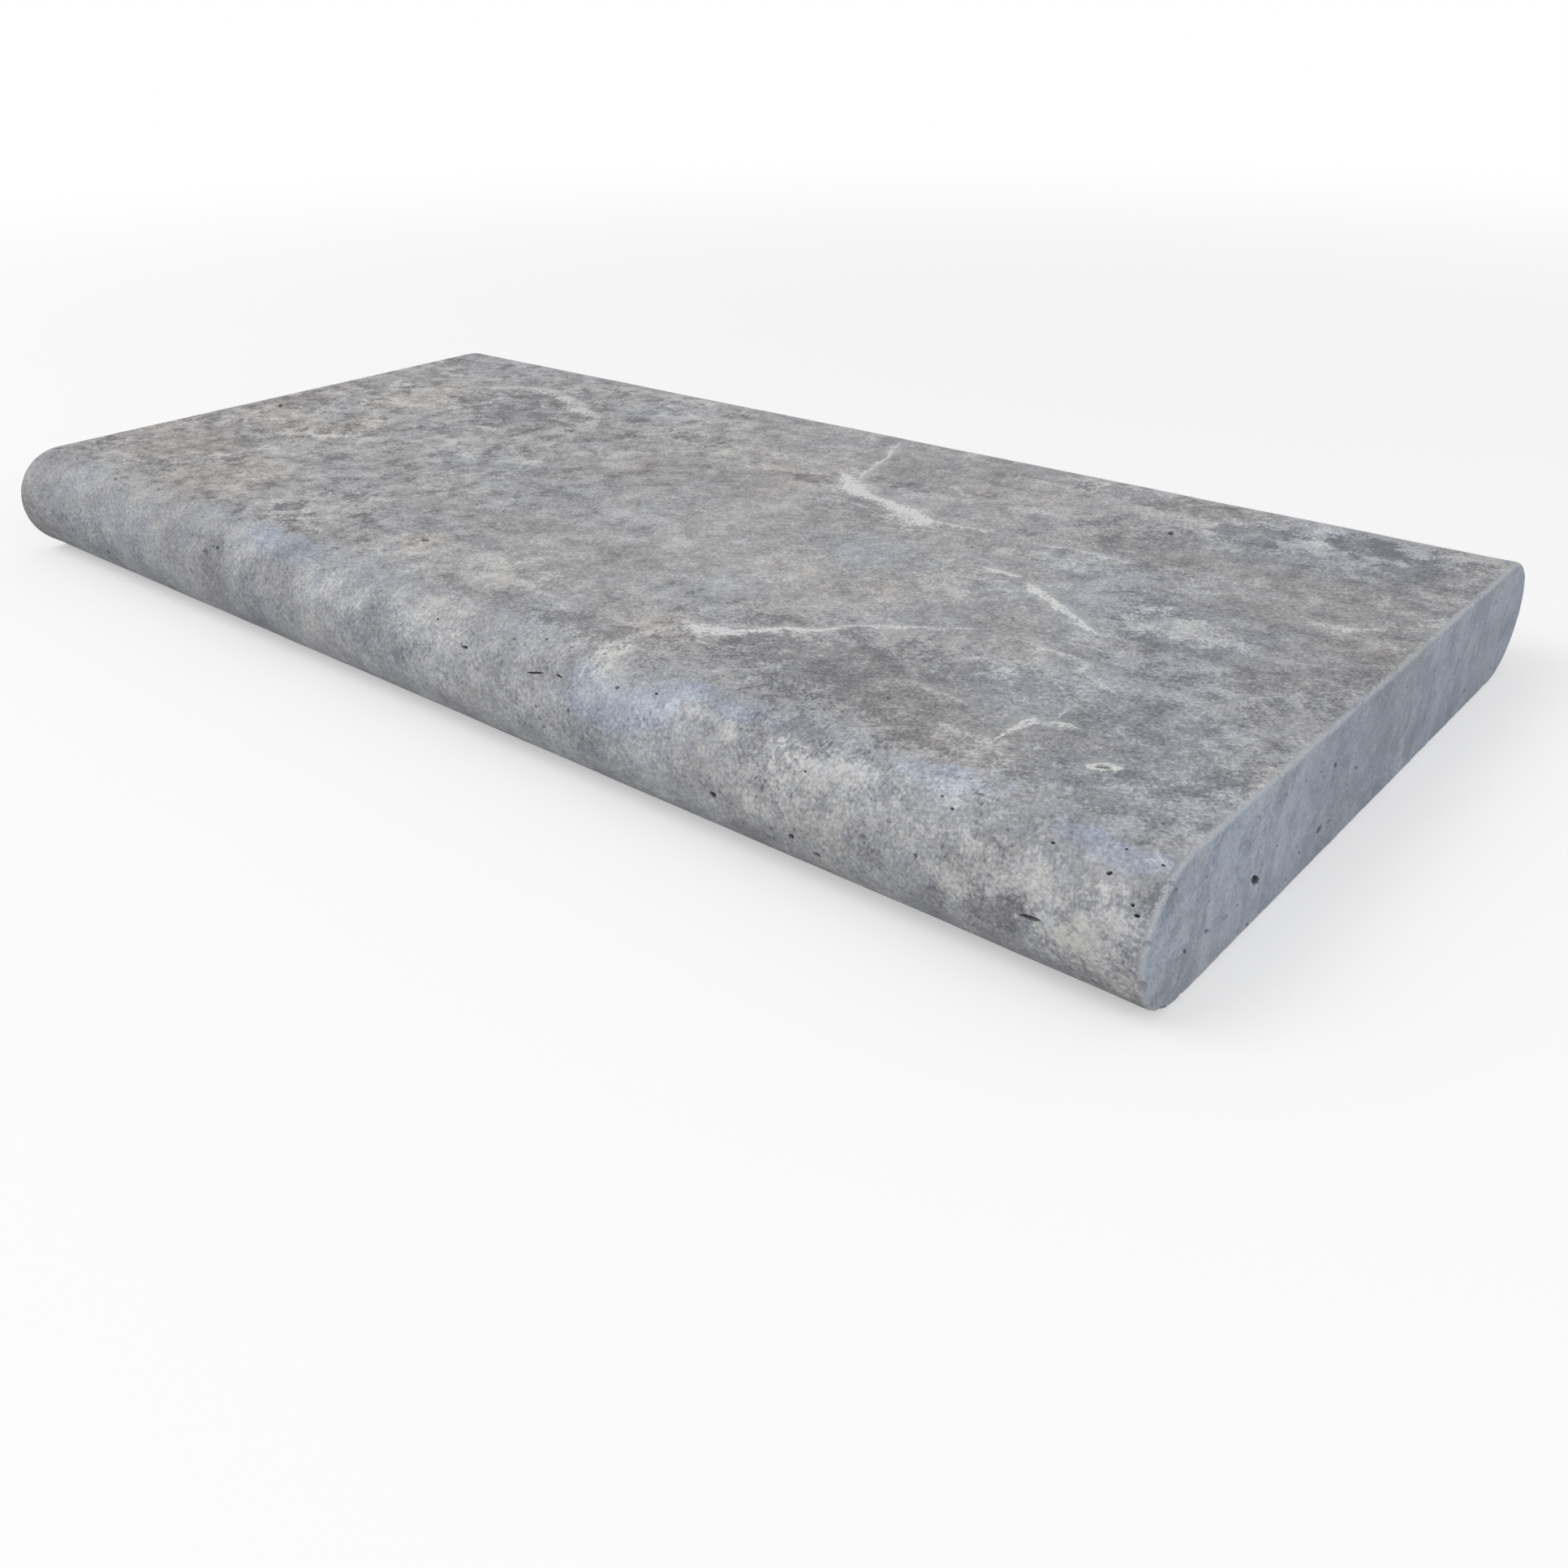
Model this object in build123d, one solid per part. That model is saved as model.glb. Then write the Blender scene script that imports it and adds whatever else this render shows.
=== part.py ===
from build123d import *
from math import cos, radians, sin
import os

# A pool and step coping: one slab of silver travertine, sawn to a rectangle, with both long
# edges ground to a full half-round nose and both short ends left as square saw cuts.
# Millimetres. X runs along the slab, Y across it from the front nose to the back nose, Z up.
# The origin is the middle of the bedding face, which is the underside.

# Driving sizes
length = 609.6  # from saw cut to saw cut: the 24 in module
width = 304.8  # over both noses: the 12 in module
thickness = 48.0  # bedding face to walking face, sold as 2 in
arris_radius = 1.5  # wear that softens the sharp corner round each saw cut

# The stone is unfilled, so its larger pits are open. Each row is one pit: where its mouth is,
# its mouth's length and width, its depth, and how far its length is turned, in degrees.

# In the walking face. The first number is in from the right saw cut, or from the left one
# where it is negative. The second is in from the front nose, or from the back one.
walking_face_pits = [
    (-20.0, 137.3, 7.5, 2.4, 2.2, -38),
    (117.1, -67.5, 5.0, 2.8, 3.0, -70),
    (40.5, 47.2, 5.0, 2.4, 2.0, 30),
    (-261.5, 49.3, 5.0, 3.4, 1.5, -20),
]

# In the front nose: in from the right saw cut, and degrees round from the walking face
front_nose_pits = [
    (33.3, 87, 8.0, 1.7, 1.8, 6),
    (106.2, 111, 3.4, 2.4, 2.0, 20),
    (115.2, 102, 3.0, 2.4, 2.0, 60),
    (146.2, 94, 3.0, 2.4, 2.0, 0),
    (194.8, 42, 2.4, 1.8, 1.4, 0),
    (231.3, 54, 8.0, 1.2, 1.4, 14),
    (268.4, 55, 3.4, 1.4, 1.5, 5),
]

# In the right saw cut: in from the front nose, and up from the bedding face
right_cut_pits = [
    (66.7, 17.0, 7.4, 3.0, 3.0, -38),
    (113.4, 11.9, 4.4, 2.8, 2.4, -8),
    (117.2, 32.4, 3.0, 1.9, 2.0, -45),
]


def slab_section():
    """Section across the slab, standing on the bedding face.

    A full bullnose is tangent to both faces, so the outline is a long slot: two level
    lines joined by a half circle on each side, whose diameter is the thickness.
    """
    with BuildSketch(Plane.YZ.offset(-length / 2)) as section:
        with Locations((0, thickness / 2)):
            SlotOverall(width, thickness)
    return section.sketch


def along(inset):
    """X of a place, in from the right saw cut, or from the left one where inset is negative."""
    return length / 2 - inset if inset > 0 else -length / 2 - inset


def across(inset):
    """Y of a place, in from the front nose, or from the back one where inset is negative."""
    return inset - width / 2 if inset > 0 else width / 2 + inset


def on_walking_face(inset_x, inset_y):
    """The plane of the walking face, centred on a pit's mouth."""
    return Plane((along(inset_x), across(inset_y), thickness))


def on_front_nose(inset_x, degrees):
    """The plane that touches the front nose at a pit's mouth."""
    radius = thickness / 2
    out = Vector(0, -sin(radians(degrees)), cos(radians(degrees)))
    axis = Vector(along(inset_x), radius - width / 2, radius)
    return Plane(axis + out * radius, x_dir=(1, 0, 0), z_dir=out)


def on_right_cut(inset_y, height):
    """The plane of the right saw cut, centred on a pit's mouth."""
    return Plane((length / 2, across(inset_y), height), x_dir=(0, 1, 0), z_dir=(1, 0, 0))


def pit(mouth_length, mouth_width, depth):
    """The hollow of one pit, an egg whose middle is at the mouth, so its walls start square to it."""
    return scale(Sphere(1), by=(mouth_length / 2, mouth_width / 2, depth))


def natural_pits():
    """Every open pit, in its place."""
    rows = [(on_walking_face(*row[:2]), *row[2:]) for row in walking_face_pits]
    rows += [(on_front_nose(*row[:2]), *row[2:]) for row in front_nose_pits]
    rows += [(on_right_cut(*row[:2]), *row[2:]) for row in right_cut_pits]
    return [plane * Rot(Z=turn) * pit(mouth_length, mouth_width, depth)
            for plane, mouth_length, mouth_width, depth, turn in rows]


def coping_slab():
    """The section run along the slab, with worn arrises round both saw cuts and its open pits."""
    with BuildPart() as slab:
        extrude(slab_section(), amount=length)
        saw_cuts = slab.faces().filter_by(Axis.X)
        fillet(saw_cuts.edges(), radius=arris_radius)
    stone = slab.part
    for hollow in natural_pits():
        stone -= hollow
    return stone


os.makedirs("parts", exist_ok=True)
export_step(coping_slab(), "parts/coping_slab.step")
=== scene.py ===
import math
import random

import bmesh
import bpy
import numpy as np
from bpy.props import FloatProperty, FloatVectorProperty, IntProperty, PointerProperty
from mathutils import Euler, Matrix, Vector, noise


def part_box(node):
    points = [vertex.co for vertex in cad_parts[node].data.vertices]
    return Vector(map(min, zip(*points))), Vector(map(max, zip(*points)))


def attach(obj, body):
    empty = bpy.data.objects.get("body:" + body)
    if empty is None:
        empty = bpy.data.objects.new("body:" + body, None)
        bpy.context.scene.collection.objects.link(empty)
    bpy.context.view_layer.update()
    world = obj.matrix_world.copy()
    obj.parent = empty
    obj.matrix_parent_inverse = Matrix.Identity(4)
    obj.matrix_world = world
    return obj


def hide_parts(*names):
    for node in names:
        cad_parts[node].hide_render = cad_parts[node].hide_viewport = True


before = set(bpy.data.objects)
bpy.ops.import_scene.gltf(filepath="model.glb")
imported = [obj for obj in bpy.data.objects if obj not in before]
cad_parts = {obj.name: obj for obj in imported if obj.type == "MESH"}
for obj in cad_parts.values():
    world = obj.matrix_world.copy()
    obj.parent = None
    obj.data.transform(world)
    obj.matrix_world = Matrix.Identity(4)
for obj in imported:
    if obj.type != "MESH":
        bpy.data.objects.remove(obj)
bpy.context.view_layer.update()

bl_info = {
    "name": "Travertine Coping",
    "version": (1, 0, 0),
    "blender": (4, 5, 0),
    "location": "View3D > Sidebar > Coping",
    "description": "A travertine bullnose coping with worn arrises and open pits, on a studio floor",
    "category": "Add Mesh",
}

MM = 0.001
SEED = 12  # sets the scattered chips and pits, and how the clouds' rims wander
SLAB_LOW, SLAB_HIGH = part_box("coping_slab")
LENGTH = SLAB_HIGH.x - SLAB_LOW.x
WIDTH = 2 * min(SLAB_HIGH.y, -SLAB_LOW.y)  # the frame's noses are faceted: the nearer one counts
THICKNESS = SLAB_HIGH.z - SLAB_LOW.z
NOSE = THICKNESS / 2  # a full bullnose: the radius is half the thickness
HALF_LENGTH = LENGTH / 2
FLAT = WIDTH / 2 - NOSE  # half the width of the level faces, to where a nose starts
SHOULDER = 40.0  # in millimetres: the stone higher than this is at the walking face


def colour(red, green, blue):
    """A colour as a screen shows it, 0 to 255, in the linear values that shaders take."""
    def linear(value):
        value /= 255
        return value / 12.92 if value <= 0.04045 else ((value + 0.055) / 1.055) ** 2.4
    return linear(red), linear(green), linear(blue)


# Marks of this slab, in millimetres from the middle of the bedding face, and degrees

# Clouds in the walking face: x, y, half length, half width, turn, tone (plus is paler)
TOP_CLOUDS = [
    (-240, 40, 30, 26, 20, 0.22),
    (-246, -24, 40, 22, 10, 0.2),
    (-262, -84, 50, 40, 0, -0.16),
    (-284, 60, 20, 50, 0, -0.1),
    (-189, 80, 17, 11, -15, -0.62),
    (-163, 52, 42, 24, -15, -0.34),
    (-213, 60, 13, 12, 0, -0.34),
    (-294, 109, 13, 8, 10, -0.6),
    (-165, 95, 20, 7, -10, -0.3),
    (-140, 116, 34, 10, 0, -0.18),
    (-137, 82, 8, 6, 0, -0.38),
    (-110, 82, 8, 6, 0, -0.38),
    (-80, 92, 8, 8, 0, -0.36),
    (-62, 70, 14, 8, 0, -0.34),
    (-90, 57, 26, 12, 10, -0.16),
    (-88, 108, 26, 14, 0, 0.2),
    (-216, -19, 13, 19, 10, -0.22),
    (-242, 12, 7, 11, 20, -0.22),
    (-284, -4, 19, 17, 0, -0.28),
    (-239, -37, 11, 4, -10, -0.3),
    (-154, 12, 16, 9, 0, 0.16),
    (-136, -11, 17, 8, -10, 0.26),
    (-106, -6, 14, 8, 0, 0.3),
    (-112, -103, 24, 17, 0, 0.3),
    (-130, -91, 5, 4, 0, -0.5),
    (-127, -114, 6, 5, 0, -0.5),
    (-102, -124, 14, 5, 0, -0.45),
    (-190, -106, 26, 20, 0, 0.1),
    (-6, -111, 46, 14, 0, 0.24),
    (4, 66, 26, 10, 0, 0.34),
    (14, 96, 9, 24, 0, 0.2),
    (-20, 62, 12, 16, 0, 0.16),
    (29, 53, 11, 7, 0, -0.42),
    (66, 68, 18, 5, -15, -0.34),
    (98, 86, 20, 8, 0, 0.1),
    (145, 100, 42, 24, 0, 0.2),
    (256, 113, 20, 12, 0, -0.62),
    (213, 103, 18, 12, 0, -0.46),
    (170, 120, 40, 10, 0, -0.34),
    (286, 92, 26, 30, 0, -0.42),
    (270, 20, 56, 60, 0, -0.2),
    (232, 70, 60, 18, 0, -0.26),
    (233, 124, 7, 7, 0, 0.4),
    (238, 105, 6, 5, 0, 0.4),
    (235, -2, 19, 11, 0, 0.5),
    (180, 36, 8, 10, 0, 0.3),
    (148, -16, 14, 16, -20, 0.28),
    (133, -34, 22, 8, -30, 0.1),
    (287, 24, 10, 12, 0, 0.12),
    (205, -96, 100, 28, 0, -0.28),
    (82, -122, 34, 8, 0, -0.3),
    (140, -44, 6, 4, -30, 0.34),
    (260, -68, 28, 12, 0, -0.14),
    (110, 36, 60, 12, 0, -0.14),
    (200, 60, 40, 14, 0, -0.16),
    (262, -118, 40, 8, 0, -0.2),
]

# Clouds in the front nose: x, arc down from the walking face, half length, half width, tone
NOSE_CLOUDS = [
    (203, 20, 22, 8, 0.45),
    (246, 9, 10, 5, 0.34),
    (150, 20, 12, 6, 0.29),
    (129, 22, 8, 5, 0.29),
    (232, 28, 34, 8, 0.27),
    (196, 34, 30, 8, 0.18),
    (294, 38, 16, 13, 0.54),
    (268, 30, 20, 7, 0.34),
    (160, 29, 26, 6, 0.082),
    (178, 14, 14, 9, -0.3),
    (262, 20, 12, 7, -0.12),
    (258, 40, 14, 5, -0.3),
    (92, 6, 7, 9, 0.42),
    (70, 12, 16, 8, 0.11),
    (20, 14, 16, 8, 0.15),
    (-40, 19, 20, 6, 0.2),
    (-103, 19, 9, 6, 0.22),
    (-122, 10, 12, 8, 0.18),
    (-200, 11, 24, 5, 0.14),
    (-280, 15, 16, 7, 0.14),
    (-134, 27, 12, 8, -0.16),
    (-218, 22, 16, 10, -0.1),
    (-90, 9, 30, 7, -0.1),
    (-20, 30, 30, 8, -0.14),
    (60, 27, 20, 7, -0.1),
    (-250, 42, 40, 8, -0.2),
]

# Clouds in the right saw cut: y, height, half length, half width, tone
END_CLOUDS = [
    (-134, 37, 12, 9, -0.3),
    (-128, 8, 16, 9, -0.14),
    (-104, 20, 34, 6, 0.44),
    (-72, 10, 26, 6, 0.3),
    (-75, 27, 8, 8, -0.28),
    (-142, 25, 8, 5, 0.5),
    (10, 26, 22, 8, 0.2),
    (74, 28, 18, 16, -0.24),
    (130, 30, 16, 16, -0.5),
    (110, 24, 50, 24, -0.14),
    (-90, 24, 60, 24, 0.2),
    (95, 8, 30, 6, 0.14),
    (28, 5, 10, 6, 0.4),
    (-15, 33, 24, 10, -0.12),
]

# Patches of warm brown stone (plus) and blue stone (minus): x, y, half length, half width, amount
WARM_PATCHES = [
    (-242, 12, 9, 13, 1.3),
    (-216, -19, 14, 20, 0.9),
    (-288, -4, 18, 24, 0.9),
    (-190, -106, 34, 26, 0.9),
    (-270, -78, 60, 40, 0.9),
    (-246, -38, 50, 24, 0.5),
    (-232, 28, 26, 16, 0.6),
    (-24, 60, 60, 34, 0.35),
    (30, 52, 14, 10, 0.6),
    (104, -108, 18, 12, 0.8),
    (-43, -103, 8, 6, 1.2),
    (250, 104, 56, 30, -1.0),
    (222, 0, 60, 24, -0.7),
    (182, 34, 26, 16, -0.7),
    (250, -70, 60, 30, -0.7),
    (280, -110, 40, 22, -0.8),
    (130, -6, 50, 22, -0.4),
    (-118, -8, 36, 14, -0.5),
    (-100, 104, 30, 20, -0.4),
    (10, 106, 20, 18, -0.5),
]

# Blue bands high on the front nose: x, arc, half length, half width, amount
BLUE_BANDS = [
    (145, 10, 32, 6, 1.5),
    (288, 10, 20, 6, 1.5),
    (238, 8, 20, 6, 0.7),
    (-88, 11, 28, 9, 1.4),
    (110, 22, 30, 10, 0.6),
]

# Veins in the walking face: strength, then the line as x, y, half width
VEIN_REACH = 12.0  # as far from a vein as its distance is kept
VEINS = [
    (0.75, [(24, 129, 0), (29, 114, 1.1), (34, 104, 1.0), (38, 91, 0.8), (41, 78, 1.2), (46, 65, 0)]),
    (1.0, [(30, 72, 0), (40, 66, 2.4), (50, 57, 5), (62, 50, 2.5), (76, 48, 3.0), (90, 42, 5.5),
           (103, 38, 4.4), (112, 40, 0)]),
    (0.8, [(106, 39, 1.2), (118, 41, 0.8), (128, 42.5, 0.6), (131, 42, 0)]),
    (0.6, [(146, 41, 0), (158, 42, 0.6), (166, 45, 0.9), (176, 45, 0.7), (190, 44, 1.0), (196, 44, 0)]),
    (0.95, [(150, 7, 0), (155, 7.2, 1.1), (163, 7, 1.0), (168, 7.4, 0)]),
    (1.0, [(171, 4, 0), (178, 0, 1.8), (188, -7, 2.2), (200, -14, 1.5), (210, -20, 1.1),
           (219, -25, 0)]),
    (0.45, [(93, -134, 1.6), (95, -120, 1.7), (99, -106, 1.4), (104, -103, 2.0)]),
    (1.0, [(104, -103, 2.2), (107, -101.5, 3.5), (118, -98, 2.6), (124, -92, 1.6), (130, -84, 1.3),
           (137, -81, 1.3), (143, -74, 0)]),
    (0.65, [(143, -74, 0.7), (147, -68, 0.8), (155, -62, 0.9), (163, -57, 1.1), (171, -53, 0.6),
            (177, -47, 0.5), (183, -44, 0)]),
    (0.4, [(96, -41, 0), (102, -46, 0.9), (99, -54, 0.8), (88, -51, 0.7), (79, -57, 0)]),
    (0.45, [(200, -43, 0), (218, -45, 1.0), (226, -47, 1.3), (227, -54, 0.9), (240, -59, 0.8),
            (246, -63, 0)]),
    (0.85, [(232.4, -100, 1.4), (232.8, -96, 1.6), (233.2, -90.5, 1.2), (233.4, -89, 0)]),
    (0.7, [(236, -92.5, 0), (240, -89, 0.9), (244, -88.3, 1.1), (248, -90, 0)]),
    (0.35, [(190, -91, 0), (197, -93, 0.7), (206, -94, 0.9), (214, -94, 0)]),
    (0.35, [(188, -43, 0), (191, -47, 0.5), (194, -52, 0)]),
    (0.9, [(259.5, -108, 0), (262, -106.5, 2.2), (266.6, -104, 2.2), (269, -102.6, 0)]),
    (0.45, [(221, 119, 0), (226, 111, 0.9), (232, 114, 1.0), (239, 109, 1.1), (246, 104, 0)]),
    (0.35, [(80, 88, 0), (88, 82, 1.2), (95, 75, 1.2), (99, 80, 0)]),
    (0.6, [(-234, -28, 0), (-227, -35, 1.0), (-218, -40, 1.6), (-206, -32, 1.4), (-200, -27, 0)]),
    (0.55, [(-228, 76, 0), (-212, 88, 3.0), (-196, 94, 3.2), (-176, 91, 3.0), (-160, 84, 4.2),
            (-146, 76, 3.6), (-130, 72, 2.4), (-117, 58, 1.6), (-114, 48, 0)]),
    (0.4, [(-84, 70, 0), (-80, 80, 1.8), (-76, 96, 2.4), (-66, 108, 2.0), (-52, 112, 0)]),
    (0.5, [(-165, 22.5, 0), (-160, 23.5, 1.8), (-153, 23, 2.0), (-150, 22, 0)]),
    (0.45, [(262, 34, 0), (268, 30, 1.0), (284, 34, 1.4), (290, 43, 0)]),
]

# Veins that join or run close to those above
BRANCHES = [
    (0.5, [(92, -96, 0), (97, -98, 0.7), (102, -101, 0.9), (106, -102, 0)]),
    (0.3, [(30, 60, 0), (44, 66, 2.0), (56, 62, 2.2), (66, 54, 0)]),
]

# Open pits that stand out. Walking face: x, y, length, width, turn, depth
TOP_PITS = [
    (-284.8, -15.1, 7.5, 2.4, -38, 2.2),
    (187.7, 84.9, 5.0, 2.8, -70, 3.0),
    (181.5, 77.3, 5.5, 3.0, 20, 0.8),
    (264.3, -105.2, 5.0, 2.4, 30, 2.0),
    (-43.3, -103.1, 5.0, 3.4, -20, 1.5),
    (186.4, -28.6, 1.5, 1.0, -50, 1.4),
    (192.0, -30.2, 1.3, 0.8, 0, 1.0),
    (191.0, -106.4, 1.6, 0.9, -50, 1.2),
    (210.0, 58.4, 1.5, 1.1, 0, 1.2),
    (134.9, 22.8, 2.2, 0.9, -60, 1.2),
    (-25.4, -95.4, 1.5, 1.0, -30, 1.0),
    (107.4, -99.0, 1.9, 0.9, 20, 1.0),
]

# Front nose: x, arc, length, width, turn, depth
NOSE_PITS = [
    (110.0, 17.4, 2.0, 1.4, 0, 1.2),
    (126.0, 14.7, 1.5, 1.0, 0, 1.3),
    (191.0, 21.0, 1.2, 0.9, 0, 1.2),
    (240.0, 16.0, 1.4, 0.9, 0, 1.2),
    (235.4, 13.6, 1.1, 0.8, 0, 1.0),
    (244.6, 8.9, 2.2, 0.8, 20, 1.0),
    (271.0, 15.0, 1.5, 0.8, 0, 1.2),
    (289.3, 9.3, 1.1, 0.8, 0, 1.2),
    (300.0, 10.2, 1.3, 0.8, 0, 1.2),
    (288.6, 17.4, 1.7, 1.2, 30, 1.6),
    (297.6, 22.9, 1.3, 0.9, 0, 1.2),
    (299.6, 25.0, 1.9, 1.0, 10, 1.6),
    (271.5, 36.6, 8.0, 1.7, 6, 1.8),
    (158.6, 39.3, 3.0, 2.4, 0, 2.0),
    (189.6, 42.9, 3.0, 2.4, 60, 2.0),
    (198.6, 46.4, 3.4, 2.4, 20, 2.0),
    (36.4, 23.1, 3.4, 1.2, 5, 1.5),
    (16.9, 17.1, 1.6, 1.0, -40, 1.3),
    (73.5, 22.6, 8.0, 0.9, 14, 1.4),
    (84.3, 20.7, 3.4, 0.8, -10, 1.3),
    (77.1, 33.6, 1.3, 0.9, 0, 1.4),
    (92.9, 30.7, 2.2, 1.7, 70, 0.9),
    (69.3, 9.7, 1.6, 0.8, -40, 1.2),
    (80.3, 40.4, 1.7, 0.8, 20, 1.2),
    (95.7, 7.1, 1.4, 1.0, 0, 1.0),
    (-231.2, 8.1, 3.2, 1.8, -20, 1.0),
    (-243.4, 29.0, 3.0, 3.4, 0, 0.8),
    (-127.7, 21.9, 1.9, 1.0, 0, 1.4),
    (-130.9, 21.9, 1.4, 0.9, 0, 1.2),
    (-134.8, 25.7, 4.4, 4.0, 0, 0.8),
    (-223.4, 45.0, 3.0, 2.6, 0, 1.4),
]

# Right saw cut: y, height, length, width, turn, depth
END_PITS = [
    (-85.7, 17.0, 7.4, 3.0, -38, 3.0),
    (-39.0, 11.9, 4.4, 2.8, -8, 2.4),
    (-35.2, 32.4, 3.0, 1.9, -45, 2.0),
    (-120.7, 35.6, 1.6, 1.0, -30, 1.4),
    (-139.0, 40.8, 2.4, 0.8, -20, 1.0),
    (-96.3, 14.1, 2.0, 1.0, -10, 1.5),
    (-115.7, 15.6, 4.0, 1.5, -35, 1.0),
    (-103.5, 13.6, 3.0, 2.4, 0, 0.8),
    (-53.0, 10.4, 2.4, 0.9, -35, 1.2),
    (-31.3, 11.3, 3.4, 1.0, -10, 0.8),
    (-86.5, 2.2, 4.0, 1.3, -30, 1.2),
    (-128.5, 16.3, 3.0, 1.3, -50, 1.2),
    (-14.6, 23.0, 3.6, 1.1, -25, 1.0),
    (-58.5, 37.2, 1.7, 0.8, -30, 1.0),
    (-46.5, 35.0, 1.6, 0.8, -20, 0.9),
    (-45.4, 37.6, 1.4, 0.8, -20, 0.9),
    (-89.6, 21.3, 1.5, 0.8, -30, 1.0),
    (-73.0, 22.3, 1.5, 0.7, -20, 1.0),
    (95.4, 9.0, 3.4, 1.2, -10, 1.2),
    (21.6, 37.5, 1.9, 0.8, -25, 1.0),
]

# Notches in the arris round the right saw cut: the way round the section from the back of the
# walking face, length, bite
NOTCHES = [
    (302.0, 7.0, 2.3),
    (312.5, 4.6, 2.0),
    (322.0, 6.5, 2.2),
    (288.0, 3.6, 1.9),
    (333.0, 5.0, 2.1),
    (271.0, 3.0, 1.8),
]


class CopingWear(bpy.types.PropertyGroup):
    """How the slab's edges and faces are worn."""

    arris: FloatProperty(
        name="Arris", description="Rounding of the corner round each saw cut",
        default=1.5 * MM, unit="LENGTH")
    arris_loss: FloatProperty(
        name="Arris Loss", description="Most that wear takes off the rounded corner",
        default=0.7 * MM, unit="LENGTH")
    sag: FloatProperty(
        name="Unevenness", description="Most that brushing and grinding hollow the faces",
        default=0.35 * MM, unit="LENGTH")
    chips: IntProperty(
        name="Chips", description="Most chips round each saw cut, less those that would meet",
        default=84)
    largest_chip: FloatProperty(
        name="Largest Chip", description="Reach of the largest scattered chip along the edge",
        default=3.4 * MM, unit="LENGTH")


class CopingPits(bpy.types.PropertyGroup):
    """How many small pits are scattered over each face, and their sizes."""

    on_top: IntProperty(name="Walking Face", description="Pits in the walking face", default=60)
    on_bed: IntProperty(name="Bedding Face", description="Pits in the underside", default=170)
    on_nose: IntProperty(name="Each Nose", description="Pits in each ground nose", default=170)
    on_end: IntProperty(name="Each Saw Cut", description="Pits in each saw cut", default=70)
    smallest: FloatProperty(
        name="Smallest", description="Smallest half length", default=0.25 * MM, unit="LENGTH")
    largest: FloatProperty(
        name="Largest", description="Largest half length", default=0.9 * MM, unit="LENGTH")


class CopingColours(bpy.types.PropertyGroup):
    """The stone's colours."""

    deep: FloatVectorProperty(
        name="Deep Grey", description="Darkest clouds", subtype="COLOR", size=3,
        default=colour(108, 109, 113))
    dark: FloatVectorProperty(
        name="Dark Grey", description="Dark clouds", subtype="COLOR", size=3,
        default=colour(137, 137, 139))
    middle: FloatVectorProperty(
        name="Silver Grey", description="The stone's main colour", subtype="COLOR", size=3,
        default=colour(158, 158, 160))
    pale: FloatVectorProperty(
        name="Pale Grey", description="Pale clouds", subtype="COLOR", size=3,
        default=colour(178, 178, 178))
    cream: FloatVectorProperty(
        name="Cream", description="Palest clouds", subtype="COLOR", size=3,
        default=colour(204, 204, 201))
    vein: FloatVectorProperty(
        name="Vein", description="Calcite veins", subtype="COLOR", size=3,
        default=colour(216, 217, 216))
    bruise: FloatVectorProperty(
        name="Bruised Edge", description="Freshly worn arris", subtype="COLOR", size=3,
        default=colour(190, 193, 199))
    # Dust and painted shade: this colour darkens the pits the deeper they go, and paints the small
    # pores as dark specks
    dust_and_shade: FloatVectorProperty(
        name="Dirt", description="Dust at the bottom of a pit", subtype="COLOR", size=3,
        default=colour(76, 73, 69))
    warm: FloatVectorProperty(
        name="Warm Tint", description="Tint of the brown patches", subtype="COLOR", size=3,
        default=(1.045, 0.98, 0.945), max=2.0)
    cool: FloatVectorProperty(
        name="Cool Tint", description="Tint of the blue patches", subtype="COLOR", size=3,
        default=(0.955, 0.985, 1.075), max=2.0)
    sawn: FloatVectorProperty(
        name="Sawn Tint", description="Tint of the saw cuts", subtype="COLOR", size=3,
        default=(0.93, 1.01, 1.12), max=2.0)


class CopingStage(bpy.types.PropertyGroup):
    """Where the camera stands, and how bright the lamps are."""

    eye: FloatVectorProperty(
        name="Camera Place", description="Where the camera stands", subtype="XYZ", size=3,
        unit="LENGTH", default=(0.42703, -0.42841, 0.23735))
    heading: FloatProperty(
        name="Heading", description="Camera's turn to the left of +Y", subtype="ANGLE",
        default=math.radians(40.909))
    dip: FloatProperty(
        name="Dip", description="How far the camera looks down", subtype="ANGLE",
        default=math.radians(28.815))
    roll: FloatProperty(
        name="Roll", description="Camera's roll, anticlockwise plus", subtype="ANGLE",
        default=math.radians(-1.12))
    lens: FloatProperty(
        name="Lens", description="Focal length on a 36 mm sensor, in millimetres", default=32.948)
    key: FloatProperty(
        name="Key Lamp", description="Power of the large soft lamp, in watts", default=27.5)
    fill: FloatProperty(
        name="Fill Lamp", description="Power of the low lamp at the right, in watts", default=10.0)
    sky: FloatProperty(
        name="Sky", description="Brightness of the white surroundings", default=0.57)
    floor: FloatVectorProperty(
        name="Floor", description="Colour of the floor", subtype="COLOR", size=3,
        default=(0.58, 0.58, 0.58))
    floor_lift: FloatProperty(
        name="Floor Lift", description="White that the camera sees the floor give off",
        default=0.42)


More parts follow.
